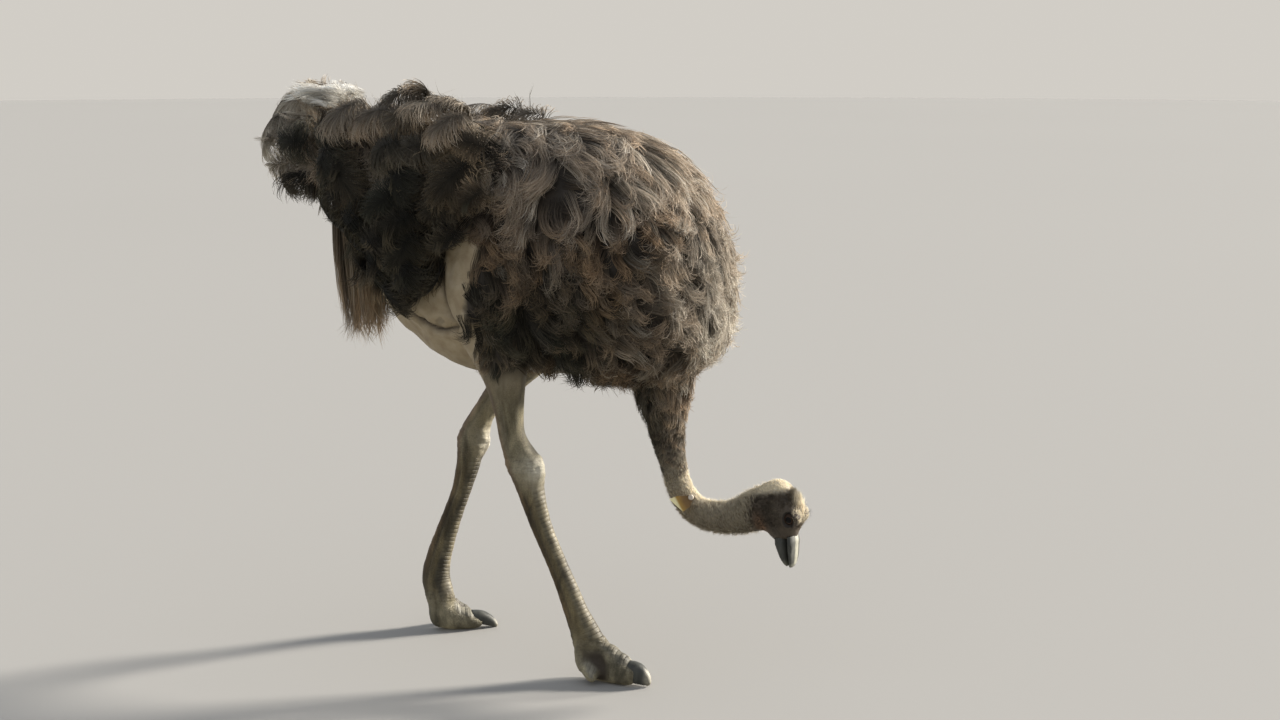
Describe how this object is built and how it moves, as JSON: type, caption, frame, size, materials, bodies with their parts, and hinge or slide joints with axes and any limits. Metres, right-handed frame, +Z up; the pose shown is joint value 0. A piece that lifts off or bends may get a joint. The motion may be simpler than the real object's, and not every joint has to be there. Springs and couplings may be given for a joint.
{
  "type": "ostrich",
  "caption": "Life-size still model of an ostrich hen walking with her head lowered to feed, wearing a plastic neck tag.",
  "frame": {"origin": "bottom centre of the whole bird, on the ground under it", "axes": "+X the way the bird faces, +Y her left side, +Z up"},
  "size_m": [1.3684, 0.6424, 1.3652],
  "materials": {
    "plumage": "soft loose feathers, brown-grey",
    "tail_plumage": "soft loose feathers, paler towards the tips",
    "skin": "matt scaly skin, with a short down on the neck and head",
    "bare_skin": "matt bare skin",
    "horn": "dull horn",
    "eye": "wet and glossy",
    "tag": "plain yellow plastic"
  },
  "bodies": {
    "root": {"trunk": "plumage", "wing_right": "plumage", "wing_left": "plumage", "tail": "tail_plumage", "neck_base": "skin", "neck_middle": "skin", "neck_upper": "skin", "head": "skin", "bill_upper": "horn", "bill_lower": "horn", "eye_right": "eye", "eye_left": "eye", "neck_tag": "tag", "tag_button": "tag", "thigh_right": "bare_skin", "thigh_left": "bare_skin", "shank_right": "skin", "shank_left": "skin", "foot_right": "skin", "foot_left": "skin", "toe_inner_right": "skin", "toe_inner_left": "skin", "toe_outer_right": "skin", "toe_outer_left": "skin", "claw_right": "horn", "claw_left": "horn"}
  },
  "joints": []
}
